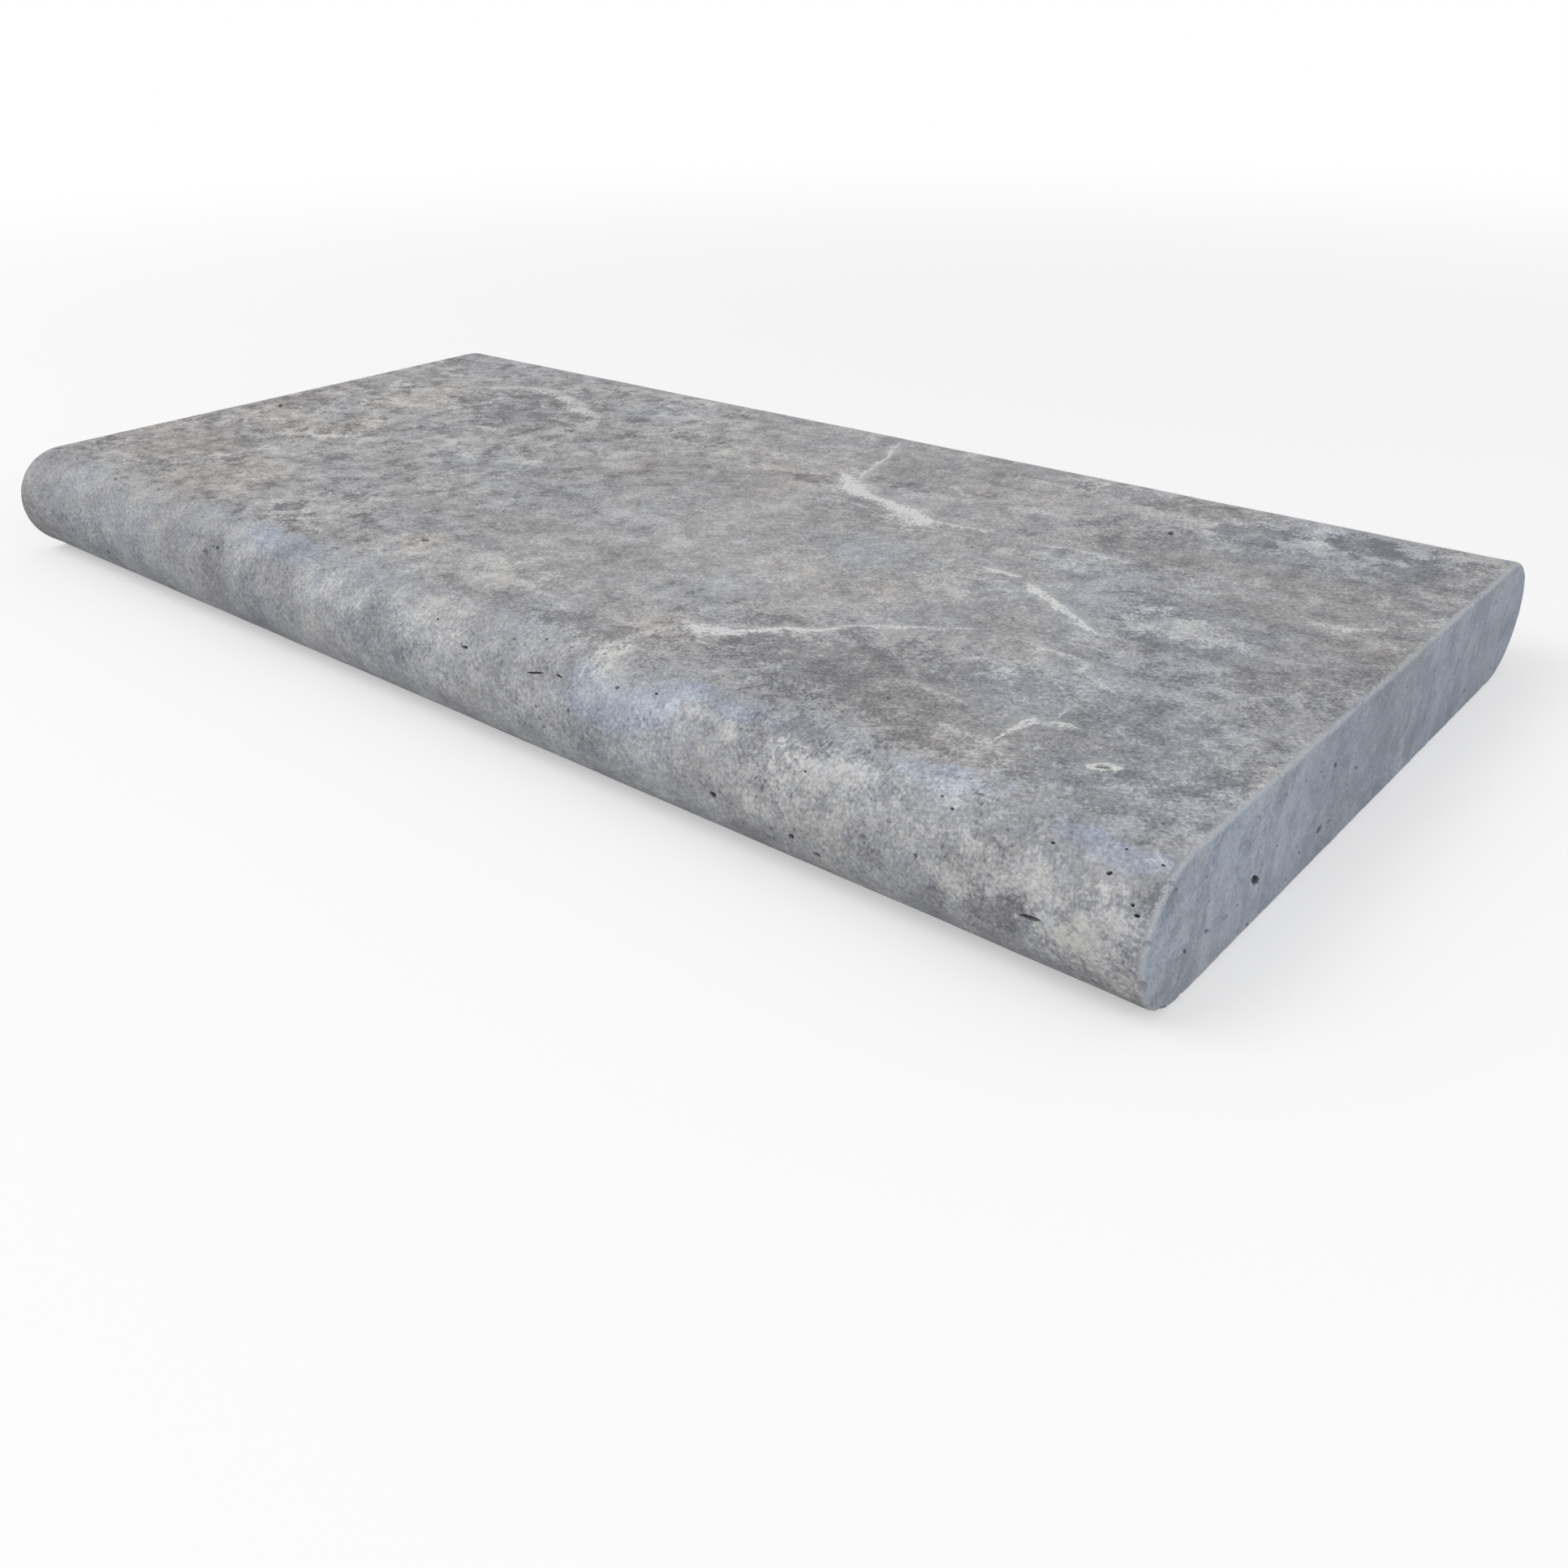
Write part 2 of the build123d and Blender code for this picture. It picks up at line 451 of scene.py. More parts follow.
class Socket:
    """A node's output. Arithmetic on it adds Math nodes, so a formula reads as it is written."""

    def __init__(self, graph, output):
        self.graph = graph
        self.output = output

    def sibling(self, name):
        """Another output of the same node."""
        return Socket(self.graph, self.output.node.outputs[name])

    def maths(self, operation, *values):
        sockets = dict(enumerate(values))
        return self.graph.add("ShaderNodeMath", {"operation": operation}, sockets)

    def __add__(self, other):
        return self.maths("ADD", self, other)

    def __radd__(self, other):
        return self.maths("ADD", other, self)

    def __sub__(self, other):
        return self.maths("SUBTRACT", self, other)

    def __rsub__(self, other):
        return self.maths("SUBTRACT", other, self)

    def __mul__(self, other):
        return self.maths("MULTIPLY", self, other)

    def __rmul__(self, other):
        return self.maths("MULTIPLY", other, self)

    def __truediv__(self, other):
        return self.maths("DIVIDE", self, other)

    def __pow__(self, other):
        return self.maths("POWER", self, other)

    def __abs__(self):
        return self.maths("ABSOLUTE", self)

    def largest(self, other):
        return self.maths("MAXIMUM", self, other)

    def smallest(self, other):
        return self.maths("MINIMUM", self, other)


class Graph:
    """The nodes of a material or a world."""

    def __init__(self, owner):
        self.owner = owner
        owner.use_nodes = True
        self.tree = owner.node_tree
        self.tree.nodes.clear()

    def add(self, kind, settings=None, sockets=None, output=0):
        """A new node: its settings first, then its sockets' values or links. Returns one output."""
        node = self.tree.nodes.new(kind)
        for name, value in (settings or {}).items():
            if name == "stops":
                self.set_stops(node.color_ramp, value)
            else:
                setattr(node, name, value)
        for name, value in (sockets or {}).items():
            if isinstance(value, Socket):
                self.tree.links.new(value.output, node.inputs[name])
            else:
                node.inputs[name].default_value = value
        return Socket(self, node.outputs[output]) if node.outputs else node

    @staticmethod
    def set_stops(ramp, stops):
        """Gives a colour ramp its stops, as place and colour."""
        while len(ramp.elements) < len(stops):
            ramp.elements.new(0.5)
        for element, (place, shade) in zip(ramp.elements, stops):
            element.position = place
            element.color = (*shade, 1.0)

    def vector(self, operation, *values, scale=None):
        """Vector arithmetic."""
        sockets = dict(enumerate(values))
        if scale is not None:
            sockets["Scale"] = scale
        return self.add("ShaderNodeVectorMath", {"operation": operation}, sockets)

    def parts(self, vector):
        """A vector's three numbers."""
        x = self.add("ShaderNodeSeparateXYZ", None, {0: vector})
        return x, x.sibling(1), x.sibling(2)

    def mix(self, factor, first, second, blend="MIX"):
        """Two colours mixed."""
        settings = {"data_type": "RGBA", "blend_type": blend, "clamp_factor": True}
        return self.add("ShaderNodeMix", settings, {0: factor, 6: first, 7: second}, 2)

    def step(self, value, low, high):
        """0 below low, 1 above high and smooth between. It falls where high is the lower."""
        settings = {"interpolation_type": "SMOOTHSTEP", "clamp": False}
        return self.add("ShaderNodeMapRange", settings, {"Value": value, 1: low, 2: high})

    def speckle(self, point, size, detail, rough):
        """Noise about 0.5, with features of about size, in millimetres."""
        sockets = {"Vector": point, "Scale": 1 / size, "Detail": detail, "Roughness": rough}
        return self.add("ShaderNodeTexNoise", None, sockets, "Fac")

    def attribute(self, name):
        """The four numbers of one of the slab's attributes."""
        stored = self.add("ShaderNodeAttribute", {"attribute_name": name})
        first = self.add("ShaderNodeSeparateColor", None, {0: stored})
        return first, first.sibling(1), first.sibling(2), stored.sibling("Alpha")


def plain(vector):
    """A tint or colour with the alpha that colour sockets want."""
    return (*vector, 1.0)


def nose_point(x, arc):
    """Where a place on the front nose is, given the arc down from the walking face, all in mm."""
    radius = NOSE / MM
    turn = arc / radius
    return x, -FLAT / MM - radius * math.sin(turn), radius + radius * math.cos(turn)


def travertine(colours):
    """Silver travertine: its marks come from the slab's attributes, and the rest from Object places."""
    graph = Graph(bpy.data.materials.new("travertine"))
    raw = graph.add("ShaderNodeTexCoord", output="Object")
    point = graph.vector("SCALE", raw, scale=1 / MM)
    x, y, z = graph.parts(point)

    # Where on the slab: out past the flat, below the skin, and in from the nearest arris
    radius, flat, half = NOSE / MM, FLAT / MM, HALF_LENGTH / MM
    beyond = (abs(y) - flat).largest(0.0)
    in_section = radius - (beyond * beyond + (z - radius) * (z - radius)) ** 0.5
    in_cut = half - abs(x)
    depth = in_section.smallest(in_cut)
    from_arris = in_section.largest(in_cut)

    # Mottling from thumbnail size down, grain, and the pale web of healed cracks
    mottle = graph.speckle(point, 12.0, 4.0, 0.86) - 0.5
    grain = graph.speckle(point, 1.25, 1.5, 0.85) - 0.5
    web = graph.speckle(point, 16.0, 2.0, 0.7) - 0.5
    patchy = graph.step(x, 40.0, -140.0)
    calm = patchy * graph.step(beyond, 0.0, 6.0)

    # The brushed walking face ends about where the noses start; the rest is ground or sawn
    above = graph.step(z, SHOULDER, SHOULDER + 4.0)
    walking = graph.step(beyond + mottle * 26 + grain * 5, 3.6, 2.2) * above
    end = graph.step(in_cut, 1.2, 0.8) * graph.step(from_arris, 0.5, 1.2)

    # Clouds, each thinning out in crumbs at its rim
    pale_cover, pale_tone, dark_cover, dark_tone = graph.attribute("clouds")
    cast, band_cover, broad, crowd = graph.attribute("casts")
    ragged = mottle * 2.9 + grain * 0.9
    pale = graph.step(pale_cover + ragged, 0.1, 1.0)
    dark = graph.step(dark_cover - ragged, 0.3, 0.75)
    lines = graph.step(abs(web), 0.022, 0.004) * graph.step(mottle, -0.03, 0.04)
    tone = broad * 2 - 1 + pale * pale_tone * 1.2 - dark * dark_tone * 1.3 + lines * walking * 0.16
    flakes = graph.step(mottle + web * 0.5, -0.07, -0.11) * patchy * walking
    crumbs = graph.step(mottle - web * 0.5, 0.08, 0.13) * patchy * walking
    contrast = 2.8 + walking * (0.6 + patchy) - calm * 0.8
    tone = tone * (1 - 0.3 * end) + end * 0.08 + mottle * contrast * (1 - 0.55 * end)
    tone = tone + grain * (2.6 - 0.1 * walking) * (1 - 0.6 * end) + crumbs * 0.36 - flakes * 0.36
    palette = [(0.0, colours.deep), (0.25, colours.dark), (0.5, colours.middle),
               (0.72, colours.pale), (1.0, colours.cream)]
    stone = graph.add("ShaderNodeValToRGB", {"stops": palette}, {"Fac": tone * 0.5 + 0.5})

    # Warm and blue casts; the pale clouds are nearly neutral
    tint = graph.speckle(point, 5.0, 2.0, 0.8) - 0.5
    blue = graph.step(band_cover + ragged * 0.5, 0.35, 0.8)
    cast = cast * 8 - 4 + tint * 2.4 + pale * 0.3 - blue * 0.15 - 0.45 * (1 - walking) + flakes * 0.5
    stone = graph.mix(cast, stone, graph.mix(1.0, stone, plain(colours.warm), "MULTIPLY"))
    stone = graph.mix(0 - cast, stone, graph.mix(1.0, stone, plain(colours.cool), "MULTIPLY"))
    steel = graph.mix(1.0, stone, plain(colours.sawn), "MULTIPLY")
    stone = graph.mix(end.largest(blue * 0.75), stone, steel)

    # Veins: a broken core with a faint milky margin
    veins = 0.0
    for name in ("veins", "branches"):
        away, width, strength = graph.attribute(name)[:3]
        away = abs(away * 2 * VEIN_REACH - VEIN_REACH + mottle * 8 + grain * 2.5)
        width = width * VEIN_REACH
        fray = away / (width + 0.02) - mottle * 4 - grain * 3
        core = graph.step(fray, 1.3, 0.6) * (0.66 + grain * 2.5)
        margin = graph.step(away / (width * 2 + 1.5), 1.2, 0.2) * 0.25
        veins = (core + margin) * graph.step(width, 0.0, 0.3) * strength + veins
    stone = graph.mix(veins, stone, plain(colours.vein))

    # Bruised arrises, pale flecks where it is brushed, small pores painted dark elsewhere, and dust
    # with painted shade in the pits, darker the deeper
    bruise = graph.step(from_arris + mottle * 6 + grain * 5, 1.6, 0.5)
    stone = graph.mix(bruise * 0.7, stone, plain(colours.bruise))
    pores = graph.step(grain + mottle * 0.4 - crowd * 0.12, -0.25, -0.32) * (1 - walking)
    flecks = graph.step(grain - mottle * 0.3, 0.2, 0.28) * walking
    stone = graph.mix(flecks * 0.35, stone, plain(colours.vein))
    # Pores painted as dark specks of dust and painted shade
    stone = graph.mix(pores * 0.5, stone, plain(colours.dust_and_shade))
    # Painted shade and dust: the deeper a point lies inside a pit, the darker it is painted, except
    # within about 3 mm of an arris, where the chips are
    dusty_shaded_pit = graph.step(depth, 0.2, 1.2) * (1 - graph.step(from_arris, 4.2, 3.0))
    stone = graph.mix(dusty_shaded_pit * 0.8, stone, plain(colours.dust_and_shade))

    # Relief: brushing leaves the walking face grainy, grinding leaves the rest smooth
    height = grain * graph.step(z, 36.0, 48.0)
    bump = graph.add("ShaderNodeBump", None, {"Strength": 0.5, "Distance": 0.5 * MM, "Height": height})
    rough = 0.58 + 0.18 * walking + grain * 0.3 + 0.1 * bruise
    surface = graph.add("ShaderNodeBsdfPrincipled", None, {
        "Base Color": stone, "Roughness": rough, "Normal": bump, "IOR": 1.46})
    graph.add("ShaderNodeOutputMaterial", None, {"Surface": surface})
    return graph.owner


def cloud_cover(points, marks):
    """How far points are inside the clouds, 1 at a heart and 0.5 on a rim, and the clouds' mean tone.

    Each mark is a centre, three radii, a turn about Z in degrees, and a tone.
    """
    cover = np.zeros(len(points))
    weight = np.full(len(points), 1e-9)
    tone = np.zeros(len(points))
    for centre, radii, turn, amount in marks:
        away = points - np.array(centre, float)
        cos, sin = math.cos(math.radians(turn)), math.sin(math.radians(turn))
        along = (away[:, 0] * cos + away[:, 1] * sin) / radii[0]
        across = (away[:, 1] * cos - away[:, 0] * sin) / radii[1]
        inside = np.clip(1.5 - np.sqrt(along ** 2 + across ** 2 + (away[:, 2] / radii[2]) ** 2), 0, 1)
        cover = np.maximum(cover, inside)
        weight += inside
        tone += inside * abs(amount)
    return cover, tone / weight


def vein_marks(points, lines):
    """Each point's signed distance to the nearest vein, and that vein's half width and strength.

    A point below the walking face has no vein.
    """
    nearest = np.full(len(points), VEIN_REACH)
    away = np.full(len(points), VEIN_REACH)
    width = np.zeros(len(points))
    strength = np.zeros(len(points))
    level = points[:, 2] > SHOULDER
    for amount, line in lines:
        for (ax, ay, a_width), (bx, by, b_width) in zip(line, line[1:]):
            run = np.array([bx - ax, by - ay], float)
            reach = points[:, :2] - (ax, ay)
            share = np.clip(reach @ run / (run @ run), 0, 1)
            gap = reach - share[:, None] * run
            distance = np.hypot(gap[:, 0], gap[:, 1])
            closer = level & (distance < nearest)
            side = np.sign(run[0] * reach[:, 1] - run[1] * reach[:, 0])
            nearest = np.where(closer, distance, nearest)
            away = np.where(closer, distance * side, away)
            width = np.where(closer, a_width + share * (b_width - a_width), width)
            strength = np.where(closer, amount, strength)
    return away, width, strength


def drift(points, size, octaves):
    """Smooth noise at each point, with a mean of 0 and a usual size of 1."""
    places = map(Vector, points)
    values = np.array([noise.fractal(place / size, 0.5, 2.0, octaves) for place in places])
    return (values - values.mean()) / values.std()


def mark_stone(slab):
    """Writes this slab's clouds, casts and veins to its vertices, for the material to read."""
    noise.seed_set(SEED)
    points = np.empty(len(slab.data.vertices) * 3)
    slab.data.vertices.foreach_get("co", points)
    points = points.reshape(-1, 3) / MM
    wander = np.array([noise.noise_vector(place / 26) * 7 + noise.noise_vector(place / 8) * 3
                       for place in map(Vector, points)])
    loose = points + wander

    def nose_marks(rows):
        """Marks in the front nose."""
        return [(nose_point(x, arc), (long, wide, wide), 0, tone)
                for x, arc, long, wide, tone in rows]

    def cover(marks, sign):
        """The cover and tone of the marks with this sign."""
        return cloud_cover(loose, [mark for mark in marks if mark[3] * sign > 0])

    top, half = THICKNESS / MM, HALF_LENGTH / MM
    cloud_depth, cut_depth, patch_depth = 6, 5, 14  # how far down the marks in level faces reach
    marks = [((x, y, top), (long, wide, wide + cloud_depth), turn, tone)
             for x, y, long, wide, turn, tone in TOP_CLOUDS]
    marks += nose_marks(NOSE_CLOUDS)
    marks += [((half, y, z), (cut_depth, long, wide), 0, tone)
              for y, z, long, wide, tone in END_CLOUDS]
    patches = [((x, y, top), (long, wide, patch_depth), 0, amount)
               for x, y, long, wide, amount in WARM_PATCHES]
    pale, dark = cover(marks, 1), cover(marks, -1)
    warm, cool = cover(patches, 1), cover(patches, -1)
    band = cover(nose_marks(BLUE_BANDS), 1)

    # Each drift is read at an offset of its own, so that no two are alike
    cast = warm[0] * warm[1] - cool[0] * cool[1] + drift(points + 500, 45, 2) * 0.2
    broad = drift(points, 34, 3) * 0.11 + drift(points + 900, 110, 2) * 0.05
    crowd = np.clip(0.5 + drift(points + 1300, 20, 2) * 0.25, 0, 1)
    store(slab, "clouds", pale[0], pale[1], dark[0], dark[1])
    store(slab, "casts", cast / 8 + 0.5, band[0], broad / 2 + 0.5, crowd)
    for name, lines in (("veins", VEINS), ("branches", BRANCHES)):
        away, width, strength = vein_marks(points, lines)
        away = (away + VEIN_REACH) / (2 * VEIN_REACH)
        store(slab, name, away, width / VEIN_REACH, strength, strength)


def store(slab, name, *channels):
    """Four numbers for each vertex, as an attribute that the material reads."""
    layer = slab.data.attributes.new(name, "FLOAT_COLOR", "POINT")
    layer.data.foreach_set("color", np.stack(channels, 1).astype(np.float32).ravel())


def select_none():
    """Nothing is selected, in object mode."""
    bpy.ops.object.select_all(action="DESELECT")


def activate(obj):
    """Only this object is selected, and it is active."""
    select_none()
    obj.select_set(True)
    bpy.context.view_layer.objects.active = obj


def select_edges(obj, wanted):
    """Selects, in edit mode, the edges for which wanted says so, from their two ends."""
    bpy.ops.mesh.select_mode(type="EDGE")
    bpy.ops.mesh.select_all(action="DESELECT")
    mesh = bmesh.from_edit_mesh(obj.data)
    for edge in mesh.edges:
        first, second = (vertex.co for vertex in edge.verts)
        edge.select_set(wanted(first, second))
    bmesh.update_edit_mesh(obj.data)


def apply_modifier(obj, kind, **settings):
    """Adds a modifier with these settings, and applies it."""
    modifier = obj.modifiers.new(kind.title(), kind)
    for name, value in settings.items():
        setattr(modifier, name, value)
    bpy.ops.object.modifier_apply(modifier=modifier.name)


def stations(half, reach, step):
    """Places from -half to half about step apart, leaving reach free at both ends."""
    count = round(2 * (half - reach) / step)
    return [(reach - half) + 2 * (half - reach) * index / count for index in range(count + 1)]


def cut_across(places, normal):
    """Cuts the whole mesh by planes at these places along normal."""
    for place in places:
        bpy.ops.mesh.select_all(action="SELECT")
        bpy.ops.mesh.bisect(plane_co=normal * place, plane_no=normal, threshold=1e-7)


def blank(wear):
    """The sawn block with its noses ground round and its arrises rounded, cut into a fine net."""
    nose_steps = 30
    net = 3.3 * MM
    hair = 0.01 * MM
    bpy.ops.mesh.primitive_cube_add(size=1, location=(0, 0, THICKNESS / 2))
    slab = bpy.context.object
    slab.name = slab.data.name = "coping_slab_stone"
    slab.scale = (LENGTH, WIDTH, THICKNESS)
    bpy.ops.object.transform_apply(location=True, rotation=True, scale=True)

    bpy.ops.object.mode_set(mode="EDIT")
    select_edges(slab, lambda a, b: abs(a.x - b.x) > LENGTH / 2)
    bpy.ops.mesh.bevel(offset=NOSE, segments=nose_steps // 2, profile=0.5, affect="EDGES")
    bpy.ops.mesh.select_all(action="SELECT")
    bpy.ops.mesh.remove_doubles(threshold=hair)
    edge = HALF_LENGTH - hair
    select_edges(slab, lambda a, b: min(abs(a.x), abs(b.x)) > edge and a.x * b.x > 0)
    bpy.ops.mesh.bevel(offset=wear.arris, segments=4, profile=0.5, affect="EDGES", clamp_overlap=False)
    cut_across(stations(FLAT, 0.0, net)[1:-1], Vector((0, 1, 0)))
    fringe = [wear.arris + gap * MM for gap in (0.9, 2.0, 3.3, 5.0, 7.2)]
    near_ends = [sign * (HALF_LENGTH - gap) for gap in fringe for sign in (-1, 1)]
    cut_across(stations(HALF_LENGTH, fringe[-1] + net, net) + near_ends, Vector((1, 0, 0)))
    bpy.ops.object.mode_set(mode="OBJECT")
    return slab


def wear_down(slab, wear):
    """Hollows the faces a little and wears the arrises, always inwards."""
    skin_reach, arris_reach = 12 * MM, 2.4 * MM
    skin_waves, arris_waves = 34 * MM, 5 * MM
    skin = slab.vertex_groups.new(name="skin")
    arris = slab.vertex_groups.new(name="arris")
    for vertex in slab.data.vertices:
        in_cut = HALF_LENGTH - abs(vertex.co.x)
        beyond = max(abs(vertex.co.y) - FLAT, 0)
        in_section = NOSE - math.hypot(beyond, vertex.co.z - NOSE)
        near = max(in_cut, in_section)
        skin.add([vertex.index], min(near / skin_reach, 1), "REPLACE")
        arris.add([vertex.index], max(1 - near / arris_reach, 0), "REPLACE")
    for group, size, loss in (("skin", skin_waves, wear.sag), ("arris", arris_waves, wear.arris_loss)):
        clouds = bpy.data.textures.new(group, "CLOUDS")
        clouds.noise_scale = size
        clouds.noise_depth = 2
        apply_modifier(slab, "DISPLACE", texture=clouds, texture_coords="LOCAL", mid_level=1.0,
                       strength=loss, vertex_group=group)


def lump(detail, spread, seed):
    """One irregular lump of radius 1, a master for pits and chips."""
    bpy.ops.mesh.primitive_ico_sphere_add(subdivisions=detail, radius=1.0)
    shape = bpy.context.object
    bpy.ops.object.mode_set(mode="EDIT")
    bpy.ops.transform.vertex_random(offset=spread, uniform=0.0, normal=0.0, seed=seed)
    bpy.ops.object.mode_set(mode="OBJECT")
    return shape


def frame_at(place, normal, along, turn):
    """A turned frame on the surface: x along, z out of the stone."""
    side = normal.cross(along)
    axes = Matrix((along, side, normal)).transposed().to_4x4()
    return Matrix.Translation(place) @ axes @ Matrix.Rotation(turn, 4, "Z")


def on_level(x, y, up, turn=0.0):
    """A frame on the walking face, or with up False on the bedding face."""
    normal = Vector((0, 0, 1 if up else -1))
    return frame_at(Vector((x, y, THICKNESS if up else 0)), normal, Vector((1, 0, 0)), turn)


def on_nose(x, arc, side, turn=0.0):
    """A frame on a nose: side is -1 at the front and 1 at the back."""
    angle = arc / NOSE
    normal = Vector((0, side * math.sin(angle), math.cos(angle)))
    place = Vector((x, side * FLAT, NOSE)) + normal * NOSE
    return frame_at(place, normal, Vector((1, 0, 0)), turn)


def on_end(y, z, side, turn=0.0):
    """A frame on a saw cut: side is 1 at the right and -1 at the left."""
    normal = Vector((side, 0, 0))
    return frame_at(Vector((side * HALF_LENGTH, y, z)), normal, Vector((0, 1, 0)), turn)


def named_pits():
    """Frames and sizes of the pits that stand out."""
    found = []
    for x, y, long, wide, turn, deep in TOP_PITS:
        found.append((on_level(x * MM, y * MM, True, math.radians(turn)), long, wide, deep))
    for x, arc, long, wide, turn, deep in NOSE_PITS:
        found.append((on_nose(x * MM, arc * MM, -1, math.radians(turn)), long, wide, deep))
    for y, z, long, wide, turn, deep in END_PITS:
        found.append((on_end(y * MM, z * MM, 1, math.radians(turn)), long, wide, deep))
    return [(place, long / 2 * MM, wide / 2 * MM, deep * MM) for place, long, wide, deep in found]


def crowded(place, size, chance):
    """True in the parts of the stone where small pits gather."""
    return noise.noise(place / size) * 0.5 + 0.5 > chance


def scattered_pits(pits, taken, draw):
    """Small pits at random, in crowds, clear of each other and of the ones that stand out."""
    clear = 3.2 * MM  # to the arrises
    apart, gap = 1.25, 0.1 * MM
    crowd = 22 * MM
    arc = math.pi * NOSE
    found = []

    def end_place(side):
        y = draw.uniform(-FLAT - NOSE * 0.8, FLAT + NOSE * 0.8)
        room = math.sqrt((NOSE - clear) ** 2 - max(abs(y) - FLAT, 0) ** 2)
        return on_end(y, NOSE + draw.uniform(-room, room), side, draw.uniform(-0.8, 0.2))

    def length_place():
        return draw.uniform(clear - HALF_LENGTH, HALF_LENGTH - clear)

    def level_place(up):
        return on_level(length_place(), draw.uniform(-FLAT, FLAT), up, draw.uniform(-1.5, 1.5))

    def nose_place(side):
        return on_nose(length_place(), draw.uniform(0.06, 0.94) * arc, side, draw.uniform(-0.5, 0.5))

    jobs = [
        (pits.on_top, level_place, True),
        (pits.on_bed, level_place, False),
        (pits.on_nose, nose_place, -1),
        (pits.on_nose, nose_place, 1),
        (pits.on_end, end_place, 1),
        (pits.on_end, end_place, -1),
    ]
    for count, pick, which in jobs:
        made = 0
        while made < count:
            place = pick(which)
            spot = place.translation
            if not crowded(spot, crowd, draw.uniform(0.25, 0.75)):
                continue
            long = pits.smallest * (pits.largest / pits.smallest) ** (draw.random() ** 2.2)
            if any((spot - other).length < apart * (long + reach) + gap for other, reach in taken):
                continue
            wide = long * draw.uniform(0.45, 0.95)
            found.append((place, long, wide, wide * draw.uniform(1.0, 1.7)))
            taken.append((spot, long))
            made += 1
    return found


def outline_place(walk):
    """A place on the slab's section, by the way round it, with its outward normal: (y, z), (y, z)."""
    level, arc = 2 * FLAT, math.pi * NOSE
    walk %= 2 * (level + arc)
    if walk < level:
        return (FLAT - walk, THICKNESS), (0, 1)
    walk -= level
    side = -1
    if walk >= arc:
        walk -= arc
        if walk < level:
            return (walk - FLAT, 0), (0, -1)
        walk -= level
        side = 1
    turn = walk / NOSE if side < 0 else math.pi - walk / NOSE
    normal = (side * math.sin(turn), math.cos(turn))
    return (side * FLAT + NOSE * normal[0], NOSE + NOSE * normal[1]), normal


def chips(wear, draw):
    """Frames and sizes of the chips: notches that stand out, and small ones at random."""
    ring = 4 * FLAT + 2 * math.pi * NOSE
    apart = 1.3
    found = []
    for side in (1, -1):
        taken = []
        wanted = []
        if side > 0:
            wanted = [(walk * MM, long / 2 * MM, bite * MM) for walk, long, bite in NOTCHES]
        while len(wanted) < wear.chips:
            long = wear.largest_chip * draw.uniform(0.2, 1.0) ** 1.8
            wanted.append((draw.uniform(0, ring), long, wear.arris * draw.uniform(0.62, 1.05)))
        for walk, long, bite in wanted:
            if any(abs(walk - other) < apart * (long + reach) for other, reach in taken):
                continue
            taken.append((walk, long))
            (y, z), (ny, nz) = outline_place(walk)
            normal = Vector((0, ny, nz))
            place = Vector((side * HALF_LENGTH, y, z))
            tangent = normal.cross(Vector((side, 0, 0)))
            place = frame_at(place, normal, tangent, 0.0)
            found.append((place, long, bite * draw.uniform(0.8, 1.3), bite))
    return found


def cutter(name, masters, places, draw):
    """One mesh made of a copy of a master lump at each place, stretched to its size."""
    shapes = bmesh.new()
    for index, (place, long, wide, deep) in enumerate(places):
        copy = masters[index % len(masters)].data.copy()
        spin = Matrix.Rotation(draw.uniform(0, math.tau), 4, "Z")
        copy.transform(place @ Matrix.Diagonal((long, wide, deep, 1)) @ spin)
        shapes.from_mesh(copy)
        bpy.data.meshes.remove(copy)
    mesh = bpy.data.meshes.new(name)
    shapes.to_mesh(mesh)
    shapes.free()
    tool = bpy.data.objects.new(name, mesh)
    bpy.context.collection.objects.link(tool)
    return tool


def cut_with(slab, tool):
    """Takes the tool's lumps out of the slab, and puts the tool away."""
    activate(slab)
    apply_modifier(slab, "BOOLEAN", object=tool, operation="DIFFERENCE", solver="EXACT")
    bpy.data.objects.remove(tool)


class OBJECT_OT_coping_slab(bpy.types.Operator):
    """Models the slab with its worn arrises, chips and pits, in travertine"""

    bl_idname = "object.coping_slab"
    bl_label = "Coping Slab"

    def execute(self, context):
        scene = context.scene
        draw = random.Random(SEED)
        select_none()
        slab = blank(scene.coping_wear)
        wear_down(slab, scene.coping_wear)
        masters = [lump(detail=2, spread=0.3, seed=seed) for seed in range(1, 8)]
        cut_with(slab, cutter("chips", masters, chips(scene.coping_wear, draw), draw))
        named = named_pits()
        taken = [(place.translation.copy(), long) for place, long, wide, deep in named]
        pits = named + scattered_pits(scene.coping_pits, taken, draw)
        cut_with(slab, cutter("pits", masters, pits, draw))
        for master in masters:
            bpy.data.objects.remove(master)
        activate(slab)
        bpy.ops.object.mode_set(mode="EDIT")
        bpy.ops.mesh.select_all(action="SELECT")
        bpy.ops.mesh.normals_make_consistent(inside=False)
        bpy.ops.object.mode_set(mode="OBJECT")
        bpy.ops.object.shade_smooth_by_angle(angle=math.radians(38))
        slab.vertex_groups.clear()
        mark_stone(slab)
        slab.data.materials.append(travertine(scene.coping_colours))
        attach(slab, "root")
        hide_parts("coping_slab")
        return {"FINISHED"}


def lamp(name, place, aim, size, power):
    """A square soft lamp at a place, aimed at a point."""
    bpy.ops.object.light_add(type="AREA", location=place)
    light = bpy.context.object
    light.name = name
    light.data.energy = power
    light.data.size = size
    light.rotation_euler = (Vector(aim) - Vector(place)).to_track_quat("-Z", "Y").to_euler()
    return light


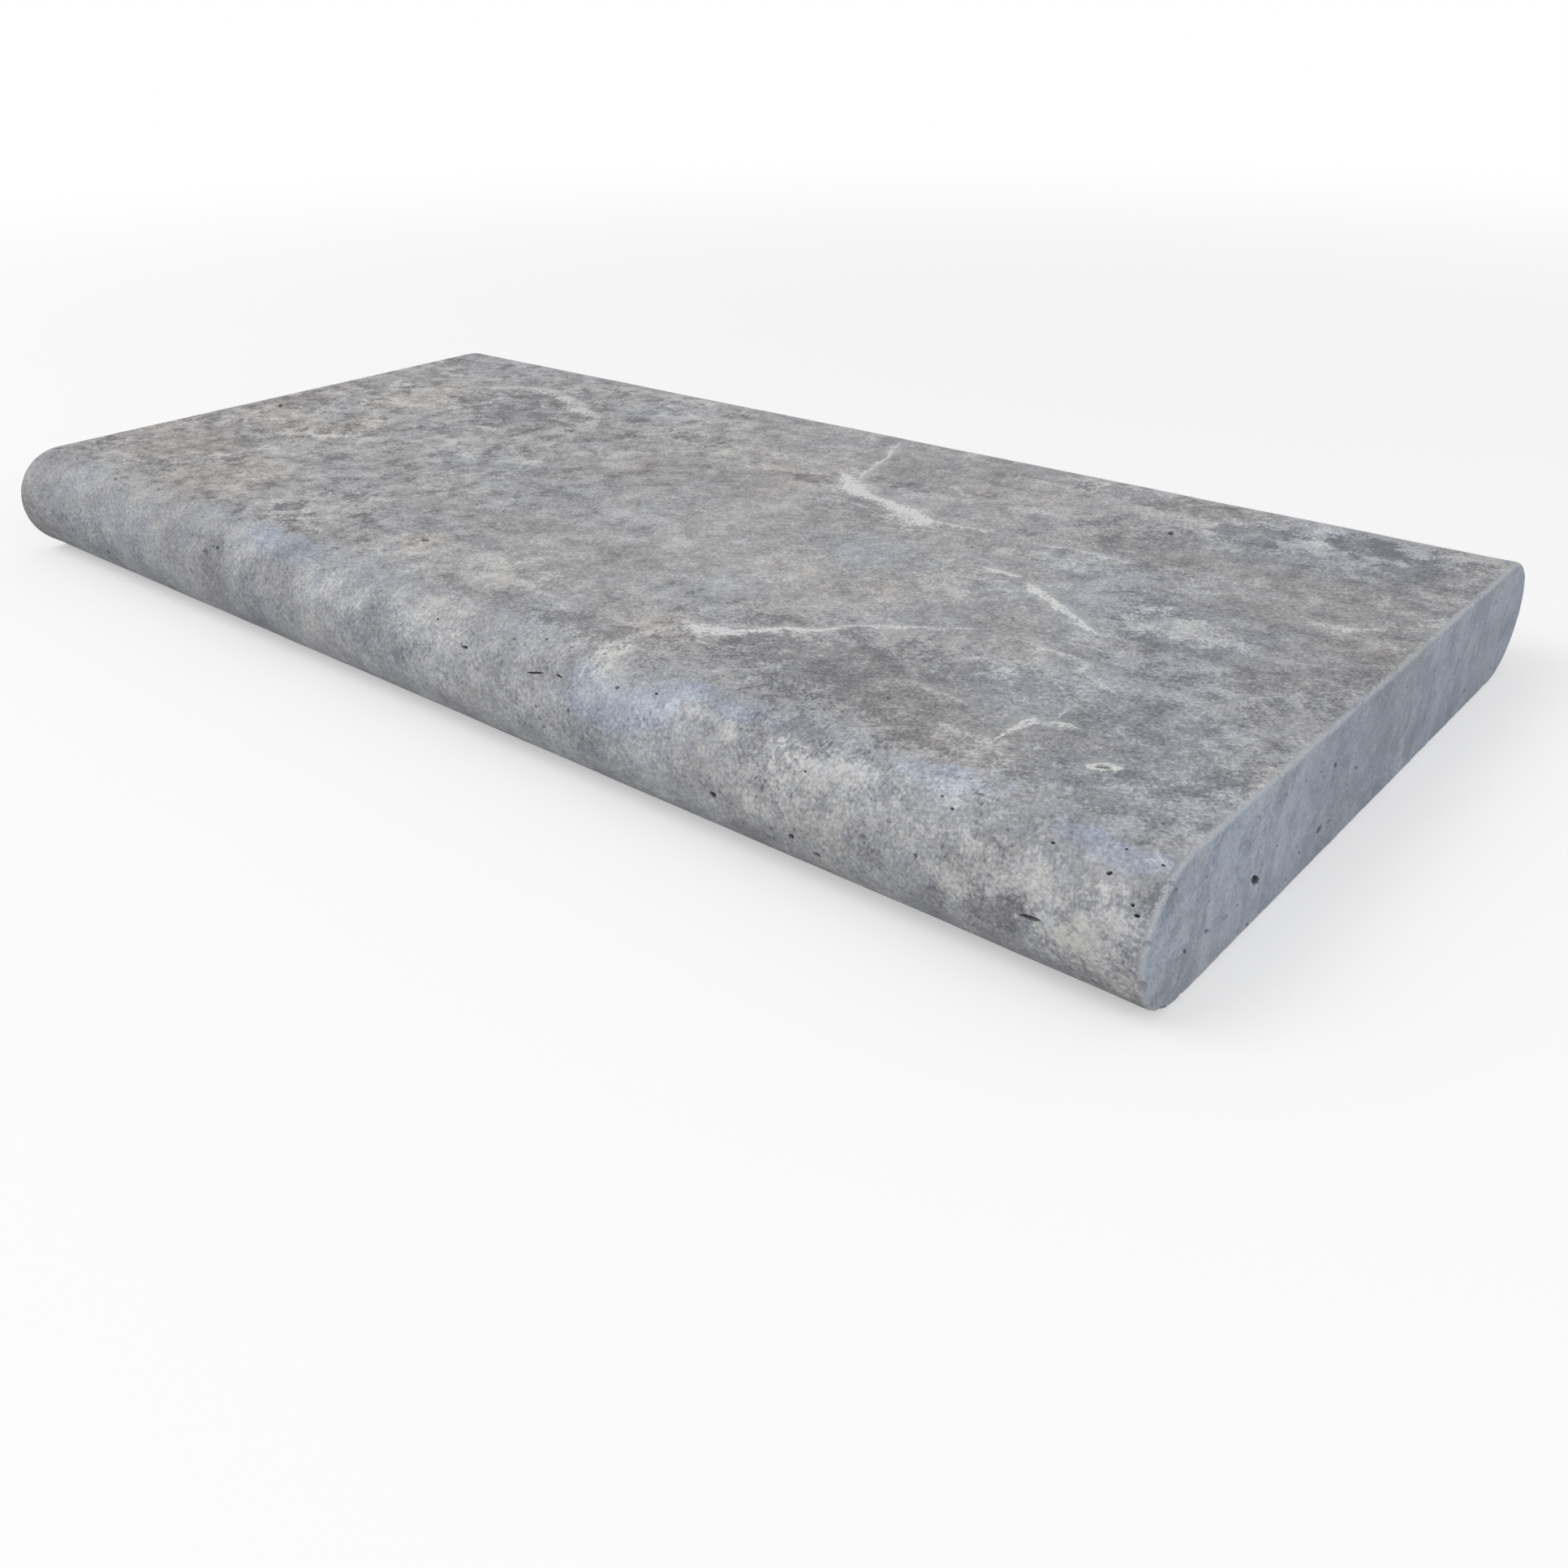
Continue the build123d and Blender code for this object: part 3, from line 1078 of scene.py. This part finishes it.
class SCENE_OT_coping_stage(bpy.types.Operator):
    """Adds the pale floor, the white surroundings, the soft lamps and the camera"""

    bl_idname = "scene.coping_stage"
    bl_label = "Studio Stage"

    def execute(self, context):
        stage = context.scene.coping_stage
        select_none()
        bpy.ops.mesh.primitive_plane_add(size=60, location=(0, 0, 0))
        floor = context.object
        floor.name = "studio_floor"
        floor.data.materials.append(self.floor_paint(stage))
        lamp("key_lamp", (-0.9, -1.5, 2.1), (0, 0, 0), 1.6, stage.key)
        lamp("fill_lamp", (2.0, -0.4, 0.9), (0, 0, 0), 1.2, stage.fill)
        self.surroundings(context.scene, stage)
        bpy.ops.object.camera_add(location=stage.eye)
        camera = context.object
        turn = Euler((0, 0, stage.heading)).to_matrix()
        turn = turn @ Euler((math.pi / 2 - stage.dip, 0, 0)).to_matrix()
        turn = turn @ Euler((0, 0, stage.roll)).to_matrix()
        camera.rotation_euler = turn.to_euler()
        camera.data.lens = stage.lens
        camera.data.sensor_width = 36
        camera.data.clip_start = 0.01
        context.scene.camera = camera
        context.scene.view_settings.view_transform = "Standard"
        return {"FINISHED"}

    def floor_paint(self, stage):
        """Pale paint. The camera sees it a little whiter than the object does, and white far away."""
        graph = Graph(bpy.data.materials.new("floor_paint"))
        seen = graph.add("ShaderNodeLightPath", output="Is Camera Ray")
        place = graph.add("ShaderNodeTexCoord", output="Object")
        away = graph.add("ShaderNodeVectorMath", {"operation": "LENGTH"}, {0: place}, "Value")
        far = graph.step(away, 0.3, 2.0) * seen
        shade = graph.mix(far, plain(stage.floor), plain((0, 0, 0)))
        glow = graph.mix(far, plain([stage.floor_lift] * 3), plain((1, 1, 1)))
        paint = graph.add("ShaderNodeBsdfPrincipled", None, {
            "Base Color": shade, "Roughness": 0.9, "Specular IOR Level": 0.0,
            "Emission Strength": seen, "Emission Color": glow})
        graph.add("ShaderNodeOutputMaterial", None, {"Surface": paint})
        return graph.owner

    def surroundings(self, scene, stage):
        """A white world, dimmer as a light than as a background."""
        graph = Graph(bpy.data.worlds.new("surroundings"))
        path = graph.add("ShaderNodeLightPath", output="Is Camera Ray")
        seen = path.largest(path.sibling("Is Glossy Ray"))
        seen = seen.largest(path.sibling("Is Transmission Ray"))
        white = graph.add("ShaderNodeBackground", None, {
            "Color": plain((1, 1, 1)), "Strength": seen * (1 - stage.sky) + stage.sky})
        graph.add("ShaderNodeOutputWorld", None, {"Surface": white})
        scene.world = graph.owner


class VIEW3D_PT_coping(bpy.types.Panel):
    """Lists the coping's operators and their settings"""

    bl_label = "Coping"
    bl_space_type = "VIEW_3D"
    bl_region_type = "UI"
    bl_category = "Coping"

    def draw(self, context):
        scene = context.scene
        for operator, groups in (
            (OBJECT_OT_coping_slab, (scene.coping_wear, scene.coping_pits, scene.coping_colours)),
            (SCENE_OT_coping_stage, (scene.coping_stage,)),
        ):
            box = self.layout.box()
            box.operator(operator.bl_idname)
            for group in groups:
                for name in group.bl_rna.properties.keys():
                    if name not in ("rna_type", "name"):
                        box.prop(group, name)


GROUPS = {
    "coping_wear": CopingWear,
    "coping_pits": CopingPits,
    "coping_colours": CopingColours,
    "coping_stage": CopingStage,
}
CLASSES = (*GROUPS.values(), OBJECT_OT_coping_slab, SCENE_OT_coping_stage, VIEW3D_PT_coping)


def register():
    for entry in CLASSES:
        bpy.utils.register_class(entry)
    for name, group in GROUPS.items():
        setattr(bpy.types.Scene, name, PointerProperty(type=group))


def unregister():
    for name in GROUPS:
        delattr(bpy.types.Scene, name)
    for entry in reversed(CLASSES):
        bpy.utils.unregister_class(entry)


def main():
    register()
    bpy.ops.object.coping_slab()
    bpy.ops.scene.coping_stage()


if __name__ == "__main__":
    main()
